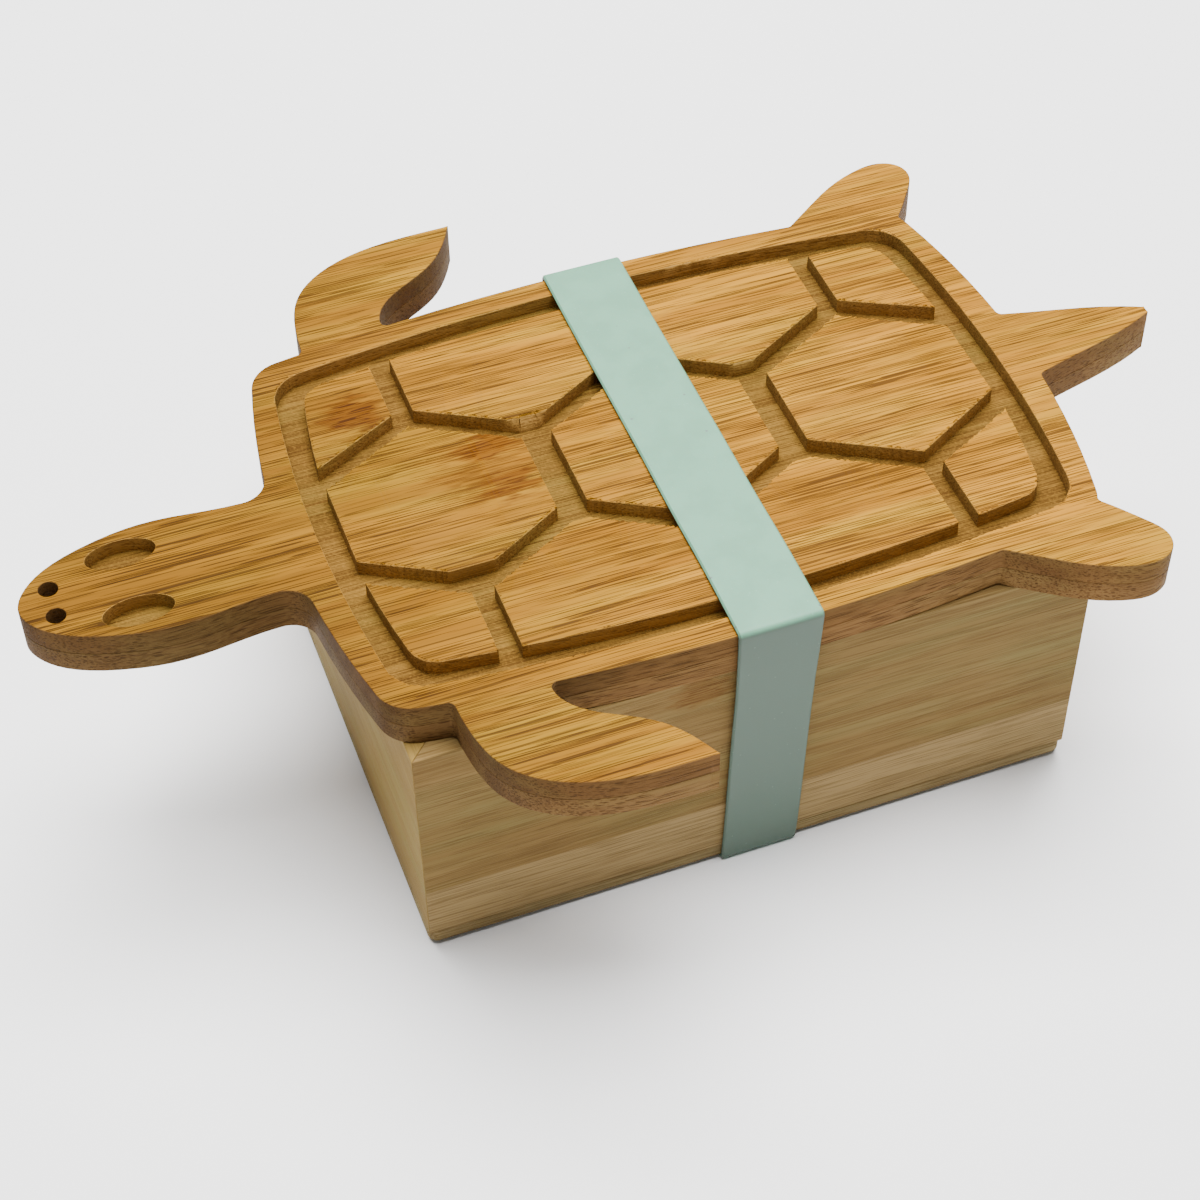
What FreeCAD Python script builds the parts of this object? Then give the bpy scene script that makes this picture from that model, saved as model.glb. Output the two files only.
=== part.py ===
import FreeCAD, Part
import math
import os
import Sketcher

# Bento lunch box: a mitred bamboo box, a thick lid board cut as a turtle, and one wide elastic band.
# Frame: +X towards the tail, +Y to the back, +Z up. The origin is under the middle of the box, on the
# plane it rests on, which is the underside of the band. All sizes are millimetres.

DIMENSIONS = {
    # box
    "box_length": 190.0,
    "box_width": 145.0,
    "wall_height": 73.8,
    "wall_thick": 9.0,
    "floor_thick": 4.2,
    "floor_corner": 3.0,
    "slot_depth": 3.0,
    "slot_width": 6.4,
    # divider board
    "divider_place": 28.0,
    "divider_thick": 5.8,
    "divider_play": 0.3,
    "divider_headroom": 1.5,
    "scoop_radius": 14.0,
    # elastic band
    "band_thick": 1.4,
    "band_width": 23.4,
    "band_place": 2.4,
    "band_clear": 0.15,
    "band_edge": 0.9,
    # lid board and the locating board under it
    "ply_thick": 6.75,
    "carve_depth": 4.7,
    "plug_thick": 5.0,
    "plug_clear": 0.6,
    "plug_corner": 6.0,
    "shell_middle": 0.5,
    "shell_half_length": 106.9,
    "shell_half_width": 73.5,
    "shell_side_bow": 668.0,
    "shell_end_bow": 245.0,
    "shell_corner": 10.5,
    "neck_fillet": 7.5,
    "notch_fillet": 1.8,
    # carved shell
    "rim_half_length": 98.3,
    "rim_half_width": 66.4,
    "rim_side_bow": 660.0,
    "rim_end_bow": 385.0,
    "rim_corner": 11.0,
    "field_half_length": 92.2,
    "field_half_width": 60.2,
    "field_side_bow": 605.0,
    "field_end_bow": 262.0,
    "field_corner": 8.0,
    "scute_pitch": 63.5,
    "scute_half": 27.65,
    "scute_corner": 14.3,
    "scute_tip": 29.8,
    "broken_tip": 26.2,
    "groove_width": 6.0,
    "side_tip": 20.4,
    # face of the turtle
    "eye_place": -147.5,
    "eye_spread": 10.6,
    "eye_half_length": 9.4,
    "eye_half_width": 4.9,
    "eye_depth": 4.7,
    "nostril_place": -167.7,
    "nostril_spread": 4.9,
    "nostril_radius": 2.6,
}

# Outlines of the turtle's limbs, as points on smooth curves, on its left side (+Y).
HEAD = [(-98.0, 17.8), (-110.0, 17.3), (-120.0, 17.7), (-131.5, 19.1), (-143.0, 19.3), (-154.5, 17.2),
        (-165.5, 13.2), (-173.0, 7.6), (-176.5, 0.0)]
FRONT_FLIPPER_OUTER = [(-82.3, 64.0), (-82.0, 70.0), (-80.3, 83.0), (-77.5, 90.6), (-73.0, 96.3),
                       (-62.0, 103.0), (-45.0, 106.5), (-26.6, 106.8)]
FRONT_FLIPPER_INNER = [(-26.6, 106.8), (-30.2, 100.0), (-35.0, 93.7), (-41.5, 88.7), (-50.0, 83.7),
                       (-55.2, 79.0), (-57.4, 74.5), (-57.6, 70.0), (-57.6, 64.0)]
REAR_FLIPPER = [(62.0, 66.0), (67.0, 69.9), (74.8, 75.6), (85.0, 82.6), (95.5, 87.2), (104.3, 87.9),
                (109.2, 84.6), (110.2, 79.8), (107.2, 73.8), (99.0, 63.0), (93.0, 56.5)]
TAIL = [(103.5, 14.4), (107.0, 13.3), (128.5, 7.8), (147.0, 1.2)]

V = FreeCAD.Vector
doc = FreeCAD.newDocument("lunch_box")
sheet = doc.addObject("Spreadsheet::Sheet", "dims")
for row, (alias, number) in enumerate(DIMENSIONS.items(), start=1):
    sheet.set("A%d" % row, str(number))
    sheet.setAlias("A%d" % row, alias)
doc.recompute()


def size(alias):
    """The value of one driving dimension."""
    return float(sheet.get(alias))


def new_body(name, middle, turn=0.0):
    """A body called name; middle gives the expressions of its place, turn its angle about +Z."""
    body = doc.addObject("PartDesign::Body", name)
    body.Label = name
    body.Placement = FreeCAD.Placement(V(0, 0, 0), FreeCAD.Rotation(V(0, 0, 1), turn))
    for axis, expression in zip("xyz", middle):
        body.setExpression("Placement.Base.%s" % axis, expression)
    return body


def new_sketch(body, name, role="XY_Plane", height=None):
    """An empty sketch on one of the body's own origin planes, raised by the height expression."""
    sketch = body.newObject("Sketcher::SketchObject", name)
    plane = [feature for feature in body.Origin.OriginFeatures if feature.Role == role][0]
    sketch.AttachmentSupport = (plane, [""])
    sketch.MapMode = "FlatFace"
    if height:
        sketch.setExpression("AttachmentOffset.Base.z", height)
    return sketch


def draw(sketch, curves):
    """Add curves to a sketch."""
    for curve in curves:
        sketch.addGeometry(curve, False)


def polygon(points):
    """Straight sides through the points, closed."""
    corners = [V(x, y, 0) for x, y in points]
    return [Part.LineSegment(a, b) for a, b in zip(corners, corners[1:] + corners[:1])]


def smooth(points):
    """One smooth curve through the points."""
    curve = Part.BSplineCurve()
    curve.interpolate([V(x, y, 0) for x, y in points])
    return curve


def mirrored(points):
    """The same points on the other side of the X axis, in reverse order."""
    return [(x, -y) for x, y in reversed(points)]


def constrain_board(sketch, outer, inner, depth):
    """Size a four-sided section: its outer side on the X axis, its inner side depth away, both centred."""
    for side in range(4):
        sketch.addConstraint(Sketcher.Constraint("Coincident", side, 2, (side + 1) % 4, 1))
    sketch.addConstraint(Sketcher.Constraint("Symmetric", 0, 1, 0, 2, -2))
    sketch.addConstraint(Sketcher.Constraint("Symmetric", 2, 1, 2, 2, -2))
    sketch.addConstraint(Sketcher.Constraint("PointOnObject", 0, 1, -1))
    for label, expression, kind, ends in (
            ("outer", outer, "DistanceX", (0, 1, 0, 2)),
            ("inner", inner, "DistanceX", (2, 2, 2, 1)),
            ("depth", depth, "DistanceY", (0, 2, 2, 1))):
        index = sketch.addConstraint(Sketcher.Constraint(kind, *ends, 10.0))
        sketch.renameConstraint(index, label)
        sketch.setExpression("Constraints.%s" % label, expression)


def pad(body, sketch, length, midplane=False):
    """Raise a sketch by the length expression."""
    feature = body.newObject("PartDesign::Pad", sketch.Name + "_pad")
    feature.Profile = sketch
    feature.setExpression("Length", length)
    feature.Midplane = midplane
    return feature


def pocket(body, sketch, depth, upwards=False, midplane=False):
    """Cut a sketch away, down its normal or up it, by the depth expression."""
    feature = body.newObject("PartDesign::Pocket", sketch.Name + "_pocket")
    feature.Profile = sketch
    feature.setExpression("Length", depth)
    feature.Reversed = upwards
    feature.Midplane = midplane
    return feature


def mirror(body, feature):
    """Repeat a feature on the other side of the XZ plane."""
    copy = body.newObject("PartDesign::Mirrored", feature.Name + "_mirrored")
    copy.Originals = [feature]
    plane = [item for item in body.Origin.OriginFeatures if item.Role == "XZ_Plane"][0]
    copy.MirrorPlane = (plane, [""])
    body.Tip = copy
    return copy


def round_edges(body, feature, name, radius, wanted):
    """Fillet the edges of a feature for which wanted(edge) is true."""
    doc.recompute()
    names = ["Edge%d" % number for number, edge in enumerate(feature.Shape.Edges, start=1) if wanted(edge)]
    fillet = body.newObject("PartDesign::Fillet", name)
    fillet.Base = (feature, names)
    fillet.setExpression("Radius", radius)
    return fillet


def is_upright(edge):
    """Whether an edge runs straight along Z."""
    run = edge.Vertexes[-1].Point - edge.Vertexes[0].Point
    return math.hypot(run.x, run.y) < 1e-6 < abs(run.z)


def is_crossing(edge):
    """Whether an upright edge is where two outlines cross, which leaves a cut curve and no plain line."""
    return is_upright(edge) and edge.Curve.TypeId != "Part::GeomLine"


# ---------------------------------------------------------------- box

BASE_TOP = "dims.band_thick + dims.floor_thick"
LID_UNDERSIDE = BASE_TOP + " + dims.wall_height"


def make_wall(name, length, middle, turn, slot=None):
    """A wall board with mitred ends, its outer face on its own XZ plane, and a divider slot."""
    body = new_body(name, middle, turn)
    section = new_sketch(body, name + "_section")
    draw(section, polygon([(-50, 0), (50, 0), (40, 9), (-40, 9)]))
    constrain_board(section, length, length + " - 2 * dims.wall_thick", "dims.wall_thick")
    board = pad(body, section, "dims.wall_height")
    if slot is not None:
        groove = new_sketch(body, name + "_slot")
        half = size("slot_width") / 2
        near = size("wall_thick") - size("slot_depth")
        far = size("wall_thick") + 1.0
        draw(groove, polygon([(slot - half, near), (slot + half, near), (slot + half, far), (slot - half, far)]))
        doc.recompute()
        whole = board.Shape.Volume
        cut = pocket(body, groove, "dims.wall_height", upwards=True)
        doc.recompute()
        slot_volume = size("slot_width") * size("slot_depth") * size("wall_height")
        assert abs(whole - cut.Shape.Volume - slot_volume) < 1.0, name + " has no slot"
    return body


def make_box():
    """Four mitred walls on a bottom panel as large as the box."""
    slot = size("divider_place")
    make_wall("front_wall", "dims.box_length", ("0", "-dims.box_width / 2", BASE_TOP), 0, slot)
    make_wall("back_wall", "dims.box_length", ("0", "dims.box_width / 2", BASE_TOP), 180, -slot)
    make_wall("head_end_wall", "dims.box_width", ("-dims.box_length / 2", "0", BASE_TOP), -90)
    make_wall("tail_end_wall", "dims.box_width", ("dims.box_length / 2", "0", BASE_TOP), 90)

    panel = new_body("bottom_panel", ("0", "-dims.box_width / 2", "dims.band_thick"))
    footprint = new_sketch(panel, "panel_footprint")
    draw(footprint, polygon([(-50, 0), (50, 0), (50, 40), (-50, 40)]))
    constrain_board(footprint, "dims.box_length", "dims.box_length", "dims.box_width")
    plate = pad(panel, footprint, "dims.floor_thick")
    round_edges(panel, plate, "panel_corners", "dims.floor_corner", is_upright)


def make_divider():
    """A loose board that stands in the slots of the long walls, with a finger scoop at its top."""
    body = new_body("divider", ("dims.divider_place", "0", BASE_TOP))
    face = new_sketch(body, "divider_face", "YZ_Plane")
    draw(face, polygon([(-50, 0), (50, 0), (50, 40), (-50, 40)]))
    span = "dims.box_width - 2 * (dims.wall_thick - dims.slot_depth + dims.divider_play)"
    tall = "dims.wall_height - dims.plug_thick - dims.divider_headroom"
    constrain_board(face, span, span, tall)
    board = pad(body, face, "dims.divider_thick", midplane=True)
    scoop = new_sketch(body, "divider_scoop", "YZ_Plane")
    top = size("wall_height") - size("plug_thick") - size("divider_headroom")
    draw(scoop, [Part.Circle(V(0, top, 0), V(0, 0, 1), size("scoop_radius"))])
    doc.recompute()
    whole = board.Shape.Volume
    cut = pocket(body, scoop, "2 * dims.divider_thick", midplane=True)
    doc.recompute()
    assert cut.Shape.Volume < whole, "the divider has no scoop"


# ---------------------------------------------------------------- lid

def barrel(shape, middle):
    """A rectangle with bowed sides and round corners, as eight arcs that meet smoothly.

    shape names the group of sizes: half length, half width, bow radii and corner radius.
    """
    half_length = size(shape + "_half_length")
    half_width = size(shape + "_half_width")
    side_bow = size(shape + "_side_bow")
    end_bow = size(shape + "_end_bow")
    corner = size(shape + "_corner")
    # The corner circle lies inside both bows and touches them, so its centre is where a circle of radius
    # side_bow - corner about the side's centre meets one of end_bow - corner about the end's centre.
    side_centre = V(0, half_width - side_bow, 0)
    end_centre = V(half_length - end_bow, 0, 0)
    apart = end_centre - side_centre
    side_reach = side_bow - corner
    end_reach = end_bow - corner
    along = (side_reach ** 2 - end_reach ** 2 + apart.Length ** 2) / (2 * apart.Length)
    across = math.sqrt(side_reach ** 2 - along ** 2)
    unit = apart / apart.Length
    centre = side_centre + unit * along + V(unit.y, -unit.x, 0) * across
    on_side = side_centre + (centre - side_centre).normalize() * side_bow
    on_end = end_centre + (centre - end_centre).normalize() * end_bow
    on_corner = centre + ((on_side + on_end) / 2 - centre).normalize() * corner

    def place(point, flip_x, flip_y):
        return V(middle + flip_x * point.x, flip_y * point.y, 0)

    arcs = []
    for flip_x in (1, -1):
        arcs.append(Part.Arc(place(on_end, flip_x, 1), V(middle + flip_x * half_length, 0, 0),
                             place(on_end, flip_x, -1)))
        for flip_y in (1, -1):
            arcs.append(Part.Arc(place(on_side, flip_x, flip_y), place(on_corner, flip_x, flip_y),
                                 place(on_end, flip_x, flip_y)))
    for flip_y in (1, -1):
        arcs.append(Part.Arc(place(on_side, 1, flip_y), V(middle, flip_y * half_width, 0),
                             place(on_side, -1, flip_y)))
    return arcs


def closed_limb(*runs):
    """The curves through each run of points, joined end to end and closed by a straight line."""
    curves = [smooth(points) for points in runs]
    first = runs[0][0]
    last = runs[-1][-1]
    return curves + [Part.LineSegment(V(last[0], last[1], 0), V(first[0], first[1], 0))]


def make_ply(name, height):
    """A board of the turtle's outline: the shell with its head, tail and two pairs of flippers."""
    body = new_body(name, ("0", "0", height))
    outlines = {
        "shell": barrel("shell", size("shell_middle")),
        "head": closed_limb(HEAD + mirrored(HEAD[:-1])),
        "tail": [smooth(TAIL), smooth(mirrored(TAIL))] + [
            Part.LineSegment(V(TAIL[end][0], TAIL[end][1], 0), V(TAIL[end][0], -TAIL[end][1], 0))
            for end in (0, -1)],
        "front_flipper": closed_limb(FRONT_FLIPPER_OUTER, FRONT_FLIPPER_INNER),
        "rear_flipper": closed_limb(REAR_FLIPPER),
    }
    for limb, curves in outlines.items():
        sketch = new_sketch(body, name + "_" + limb)
        draw(sketch, curves)
        feature = pad(body, sketch, "dims.ply_thick")
        if limb.endswith("flipper"):
            feature = mirror(body, feature)

    neck_line = -size("shell_half_length") + 5.0

    def at_neck(edge):
        return is_crossing(edge) and edge.CenterOfMass.x < neck_line

    def at_notch(edge):
        return is_crossing(edge) and edge.CenterOfMass.x > neck_line

    necks = round_edges(body, feature, name + "_neck", "dims.neck_fillet", at_neck)
    round_edges(body, necks, name + "_notches", "dims.notch_fillet", at_notch)
    nostrils = new_sketch(body, name + "_nostrils", height="dims.ply_thick")
    draw(nostrils, [Part.Circle(V(size("nostril_place"), side * size("nostril_spread"), 0), V(0, 0, 1),
                                size("nostril_radius")) for side in (1, -1)])
    pocket(body, nostrils, "dims.ply_thick")
    return body


def central_scute(number):
    """A hexagon with its points towards the long sides; the first one has lost its front point."""
    middle = size("shell_middle") + (number - 1) * size("scute_pitch")
    half = size("scute_half")
    corner = size("scute_corner")
    tip = size("scute_tip")
    back = [(middle - half, corner), (middle, tip), (middle + half, corner)]
    front = [(middle + half, -corner), (middle, -tip), (middle - half, -corner)]
    if number == 0:
        break_height = size("broken_tip")
        flat = (tip - break_height) / (tip - corner) * half
        front[1:2] = [(middle + flat, -break_height), (middle - flat, -break_height)]
    return polygon(back + front)


def groove_height(x):
    """How far the inner edge of the side scutes stands from the X axis, at x."""
    pitch = size("scute_pitch")
    half = size("scute_half")
    slope = (size("scute_tip") - size("scute_corner")) / half
    distances = [abs(x - size("shell_middle") - step * pitch) for step in (-1, 0, 1)]
    height = size("scute_tip") + size("groove_width") * math.hypot(1, slope) - slope * min(distances)
    return max(height, size("side_tip"))


def side_scute(number, side):
    """One of the four scutes along a long side: its inner edge follows the hexagons' points."""
    pitch = size("scute_pitch")
    half_groove = size("groove_width") / 2
    start = size("shell_middle") + (number - 2) * pitch + half_groove
    end = start + pitch - 2 * half_groove
    slope = (size("scute_tip") - size("scute_corner")) / size("scute_half")
    valley = (start + end) / 2
    flat = (size("side_tip") - (groove_height(start) - slope * (valley - start))) / slope
    inner = [(start, groove_height(start)), (valley - flat, size("side_tip")),
             (valley + flat, size("side_tip")), (end, groove_height(end))]
    field_arcs = [arc.toShape() for arc in barrel("field", size("shell_middle"))]
    field = Part.Face(Part.Wire(Part.__sortEdges__(field_arcs)))
    reach = size("field_half_width") + 1.0
    if number == 0:
        inner = [(-size("field_half_length"), groove_height(-size("field_half_length") + 2.0)), inner[-1]]
    if number == 3:
        inner = [inner[0], (size("field_half_length"), groove_height(size("field_half_length") - 2.0))]
    corners = inner + [(inner[-1][0], reach), (inner[0][0], reach)]
    blank = Part.Face(Part.Wire([line.toShape() for line in polygon([(x, side * y) for x, y in corners])]))
    return blank.common(field).Faces[0].OuterWire


def make_lid():
    """Two glued plies; the shell pattern and the eyes are carved into the upper one."""
    make_ply("lid_bottom_ply", LID_UNDERSIDE)
    top = make_ply("lid_top_ply", LID_UNDERSIDE + " + dims.ply_thick")

    channel = new_sketch(top, "shell_carving", height="dims.ply_thick")
    draw(channel, barrel("rim", size("shell_middle")))
    for number in range(3):
        draw(channel, central_scute(number))
    for side in (1, -1):
        for number in range(4):
            draw(channel, [edge.Curve.trim(*edge.ParameterRange) for edge in side_scute(number, side).Edges])
    pocket(top, channel, "dims.carve_depth")

    eyes = new_sketch(top, "eyes", height="dims.ply_thick")
    for side in (1, -1):
        draw(eyes, [Part.Ellipse(V(size("eye_place"), side * size("eye_spread"), 0),
                                 size("eye_half_length"), size("eye_half_width"))])
    pocket(top, eyes, "dims.eye_depth")


def make_plug():
    """The board under the lid that drops between the walls and keeps the lid in place."""
    body = new_body("lid_locating_board", ("0", "-dims.box_width / 2 + dims.wall_thick + dims.plug_clear",
                                           LID_UNDERSIDE + " - dims.plug_thick"))
    footprint = new_sketch(body, "plug_footprint")
    draw(footprint, polygon([(-50, 0), (50, 0), (50, 40), (-50, 40)]))
    long_side = "dims.box_length - 2 * (dims.wall_thick + dims.plug_clear)"
    short_side = "dims.box_width - 2 * (dims.wall_thick + dims.plug_clear)"
    constrain_board(footprint, long_side, long_side, short_side)
    board = pad(body, footprint, "dims.plug_thick")
    round_edges(body, board, "plug_corners", "dims.plug_corner", is_upright)


# ---------------------------------------------------------------- elastic band

def make_band():
    """A flat elastic loop round the lid and the box; it leans in from the lid's edge to the floor."""
    thick = size("band_thick")
    lid_edge = size("shell_half_width") + size("band_clear")
    box_edge = size("box_width") / 2
    floor = thick
    lid_bottom = thick + size("floor_thick") + size("wall_height")
    lid_top = lid_bottom + 2 * size("ply_thick")
    inside = [(lid_edge, lid_top), (lid_edge, lid_bottom), (box_edge, floor)]
    outside = [(lid_edge + thick, lid_top + thick), (lid_edge + thick, lid_bottom), (box_edge + thick, 0.0)]
    body = new_body("elastic_band", ("dims.band_place", "0", "0"))
    loop = new_sketch(body, "band_loop", "YZ_Plane")
    for side in (inside, outside):
        draw(loop, polygon(side + [(-y, z) for y, z in reversed(side)]))
    strap = pad(body, loop, "dims.band_width", midplane=True)

    def at_outer_corner(edge):
        spot = edge.CenterOfMass
        along_x = edge.Curve.TypeId == "Part::GeomLine" and edge.BoundBox.XLength > size("band_width") / 2
        return along_x and (spot.z < thick / 2 or spot.z > lid_top + thick / 2)

    round_edges(body, strap, "band_corners", "dims.band_edge", at_outer_corner)


make_box()
make_divider()
make_lid()
make_plug()
make_band()
doc.recompute()

for item in doc.Objects:
    assert not set(item.State) & {"Invalid", "Error"}, "%s failed: %s" % (item.Label, item.State)
bodies = [item for item in doc.Objects if item.TypeId == "PartDesign::Body"]
os.makedirs("parts", exist_ok=True)
for body in bodies:
    shape = body.Shape
    assert not shape.isNull() and shape.isValid() and len(shape.Solids) == 1, body.Label + " is not one solid"
for body in bodies:
    body.Shape.exportStep("parts/%s.step" % body.Label)
    box = body.Shape.BoundBox
    print("%-20s x %7.1f %7.1f  y %7.1f %7.1f  z %6.1f %6.1f" % (
        body.Label, box.XMin, box.XMax, box.YMin, box.YMax, box.ZMin, box.ZMax))
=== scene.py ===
import math

import bmesh
import bpy
import numpy as np
from mathutils import Matrix, Vector, noise
from mathutils.geometry import delaunay_2d_cdt


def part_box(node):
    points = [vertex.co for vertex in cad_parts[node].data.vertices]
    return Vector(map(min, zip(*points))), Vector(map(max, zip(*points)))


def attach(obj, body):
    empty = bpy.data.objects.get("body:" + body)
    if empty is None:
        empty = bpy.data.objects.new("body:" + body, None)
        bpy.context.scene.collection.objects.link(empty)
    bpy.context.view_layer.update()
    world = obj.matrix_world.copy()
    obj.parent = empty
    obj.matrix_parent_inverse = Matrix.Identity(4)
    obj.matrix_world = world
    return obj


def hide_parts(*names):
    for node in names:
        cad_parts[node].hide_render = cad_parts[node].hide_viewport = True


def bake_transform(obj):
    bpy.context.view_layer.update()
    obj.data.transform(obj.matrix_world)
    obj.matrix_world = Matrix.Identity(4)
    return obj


# The bento lunch box: the lid's two plies and the band are built here around the frame's own outlines, the
# boards of the box get worn edges, and every surface has a procedural material. Lengths are in metres, and
# in the materials in millimetres. Colours are linear.

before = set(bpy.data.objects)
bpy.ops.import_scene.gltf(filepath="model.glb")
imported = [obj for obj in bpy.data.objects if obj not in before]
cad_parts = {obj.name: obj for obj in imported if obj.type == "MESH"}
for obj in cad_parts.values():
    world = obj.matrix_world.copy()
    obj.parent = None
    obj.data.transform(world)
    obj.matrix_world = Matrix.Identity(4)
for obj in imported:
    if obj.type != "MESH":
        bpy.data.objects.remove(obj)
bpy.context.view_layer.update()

MM = 0.001
UP = Vector((0, 0, 1))

LID_FLOOR, LID_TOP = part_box("lid_top_ply")[0].z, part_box("lid_top_ply")[1].z
LID_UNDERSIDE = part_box("lid_bottom_ply")[0].z
LID_EDGE = -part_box("elastic_band")[0].y
BOX_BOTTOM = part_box("bottom_panel")[0].z
BOX_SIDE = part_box("front_wall")[0].y


# ---------------------------------------------------------------- node trees

# A noise's middle, and the limits that spread it over 0 to 1.
MIDDLE = 0.5
FULL_RANGE = (0.35, 0.65)
BLACK = (0.0, 0.0, 0.0, 1.0)


class Graph:
    """The node tree of one material, with short calls for the nodes used here."""

    def __init__(self, name):
        self.material = bpy.data.materials.new(name)
        self.material.use_nodes = True
        self.tree = self.material.node_tree
        self.shader = self.tree.nodes["Principled BSDF"]

    def node(self, kind, inputs, output=0, **settings):
        """Add a node, set its inputs by name or number, and return one of its outputs."""
        item = self.tree.nodes.new(kind)
        for name, value in settings.items():
            setattr(item, name, value)
        for key, value in inputs.items():
            if isinstance(value, bpy.types.NodeSocket):
                self.tree.links.new(value, item.inputs[key])
            else:
                item.inputs[key].default_value = value
        return item.outputs[output]

    def math(self, operation, *values):
        return self.node("ShaderNodeMath", dict(enumerate(values)), operation=operation)

    def times(self, first, second):
        return self.math("MULTIPLY", first, second)

    def vector(self, operation, *values):
        return self.node("ShaderNodeVectorMath", dict(enumerate(values)), operation=operation)

    def mix(self, factor, first, second):
        return self.node("ShaderNodeMix", {0: factor, 6: first, 7: second}, 2, data_type="RGBA")

    def noise(self, vector, scale=1.0, detail=2.0, roughness=0.5):
        return self.node("ShaderNodeTexNoise", {"Vector": vector, "Scale": scale, "Detail": detail,
                                                "Roughness": roughness})

    def cells(self, vector, scale=1.0):
        """The distance to the nearest of many scattered points, in units of their spacing."""
        return self.node("ShaderNodeTexVoronoi", {"Vector": vector, "Scale": scale, "Randomness": 1.0})

    def between(self, value, low, high):
        """0 at low, 1 at high and smooth between; low may be the larger one."""
        return self.node("ShaderNodeMapRange", {"Value": value, "From Min": low, "From Max": high},
                         interpolation_type="SMOOTHSTEP")

    def split(self, vector):
        """The three parts of a vector."""
        item = self.tree.nodes.new("ShaderNodeSeparateXYZ")
        self.tree.links.new(vector, item.inputs[0])
        return item.outputs[0], item.outputs[1], item.outputs[2]

    def place(self):
        """The point in the piece's own axes, in millimetres."""
        spot = self.node("ShaderNodeTexCoord", {}, 3)
        return self.node("ShaderNodeVectorMath", {0: spot, "Scale": 1.0 / MM}, operation="SCALE")

    def facing(self, axis):
        """How squarely the surface faces along one of the piece's axes, 0 to 1."""
        return self.math("ABSOLUTE", self.split(self.node("ShaderNodeTexCoord", {}, 1))[axis])

    def bump(self, height, strength, distance):
        return self.node("ShaderNodeBump", {"Height": height, "Strength": strength, "Distance": distance})

    def finish(self, colour, roughness, normal, **constants):
        """Wire the shader's varying inputs and set its constant ones."""
        self.tree.links.new(colour, self.shader.inputs["Base Color"])
        self.tree.links.new(roughness, self.shader.inputs["Roughness"])
        self.tree.links.new(normal, self.shader.inputs["Normal"])
        for key, value in constants.items():
            self.shader.inputs[key.replace("_", " ")].default_value = value
        return self.material


def tint(colour, amount):
    """A colour made lighter or darker."""
    return tuple(part * amount for part in colour[:3]) + (1.0,)


# ---------------------------------------------------------------- bamboo

# Lengths along the fibres and widths across them, in millimetres.
TONE_BANDS = (110.0, 6.0)
GOLDEN_BANDS = (70.0, 25.0)
CROWDING = (60.0, 5.0)
WIDE_STREAKS = (60.0, 1.7)
LONG_LINES = (70.0, 0.42)
SHORT_LINES = (26.0, 0.38)
BUNDLES = (24.0, 0.62)
NODE_FIBRES = (8.0, 0.6)

# How far one step of shift moves the pattern along, across and up.
SHIFT_STEP = (31.0, 17.0, 5.0)

# What turns the light colour to straw.
STRAW = (0.86, 1.03, 1.0, 1.0)

# How strongly each feature shows.
TONE_SHARE = 0.7
CROWD_SHARE = 0.32
WIDE_SHARE = 0.18
LONG_SHARE = 0.85
BUNDLE_TINT = 0.7
FOOT_SHARE = 0.75
BLUSH_SHARE = 0.8

# Limits between which a noise, a distance or a direction turns into a mark.
LINE_RANGE = (0.585, 0.610)
WIDE_RANGE = (0.48, 0.64)
BUNDLE_RANGE = (0.40, 0.24)
NODE_FIBRE_RANGE = (0.50, 0.56)
NODE_RANGE = (1.2, 0.5)
END_RANGE = (0.35, 0.95)
DUST_RANGE = (0.46, 0.66)
DUST_TINT = 1.5
DUST_SHARE, RIPPLE_SHARE = 0.5, 0.25
SCUFF_DEPTH, RIPPLE_DEPTH = 1.2, 0.3
FOOT_SOFT = 0.3

NODE_RAGGED = 2.0
NODE_WANDER = (0.12, 0.4, 0.4)
NODE_BROWN = (0.065, 0.020, 0.003, 1.0)
NODE_BLUSH = (0.140, 0.045, 0.003, 1.0)
# The paler strip at a wall's foot: partly the wood's own tone, partly painted light against the shade near
# the floor.
PALE_AND_LIT_STRIP = (0.355, 0.245, 0.108, 1.0)

ROUGHNESS_SPAN = 0.16
LINE_DEPTH = -0.5
# The bump's strength and distance.
WOOD_BUMP = (0.55, 0.2 * MM)


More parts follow.
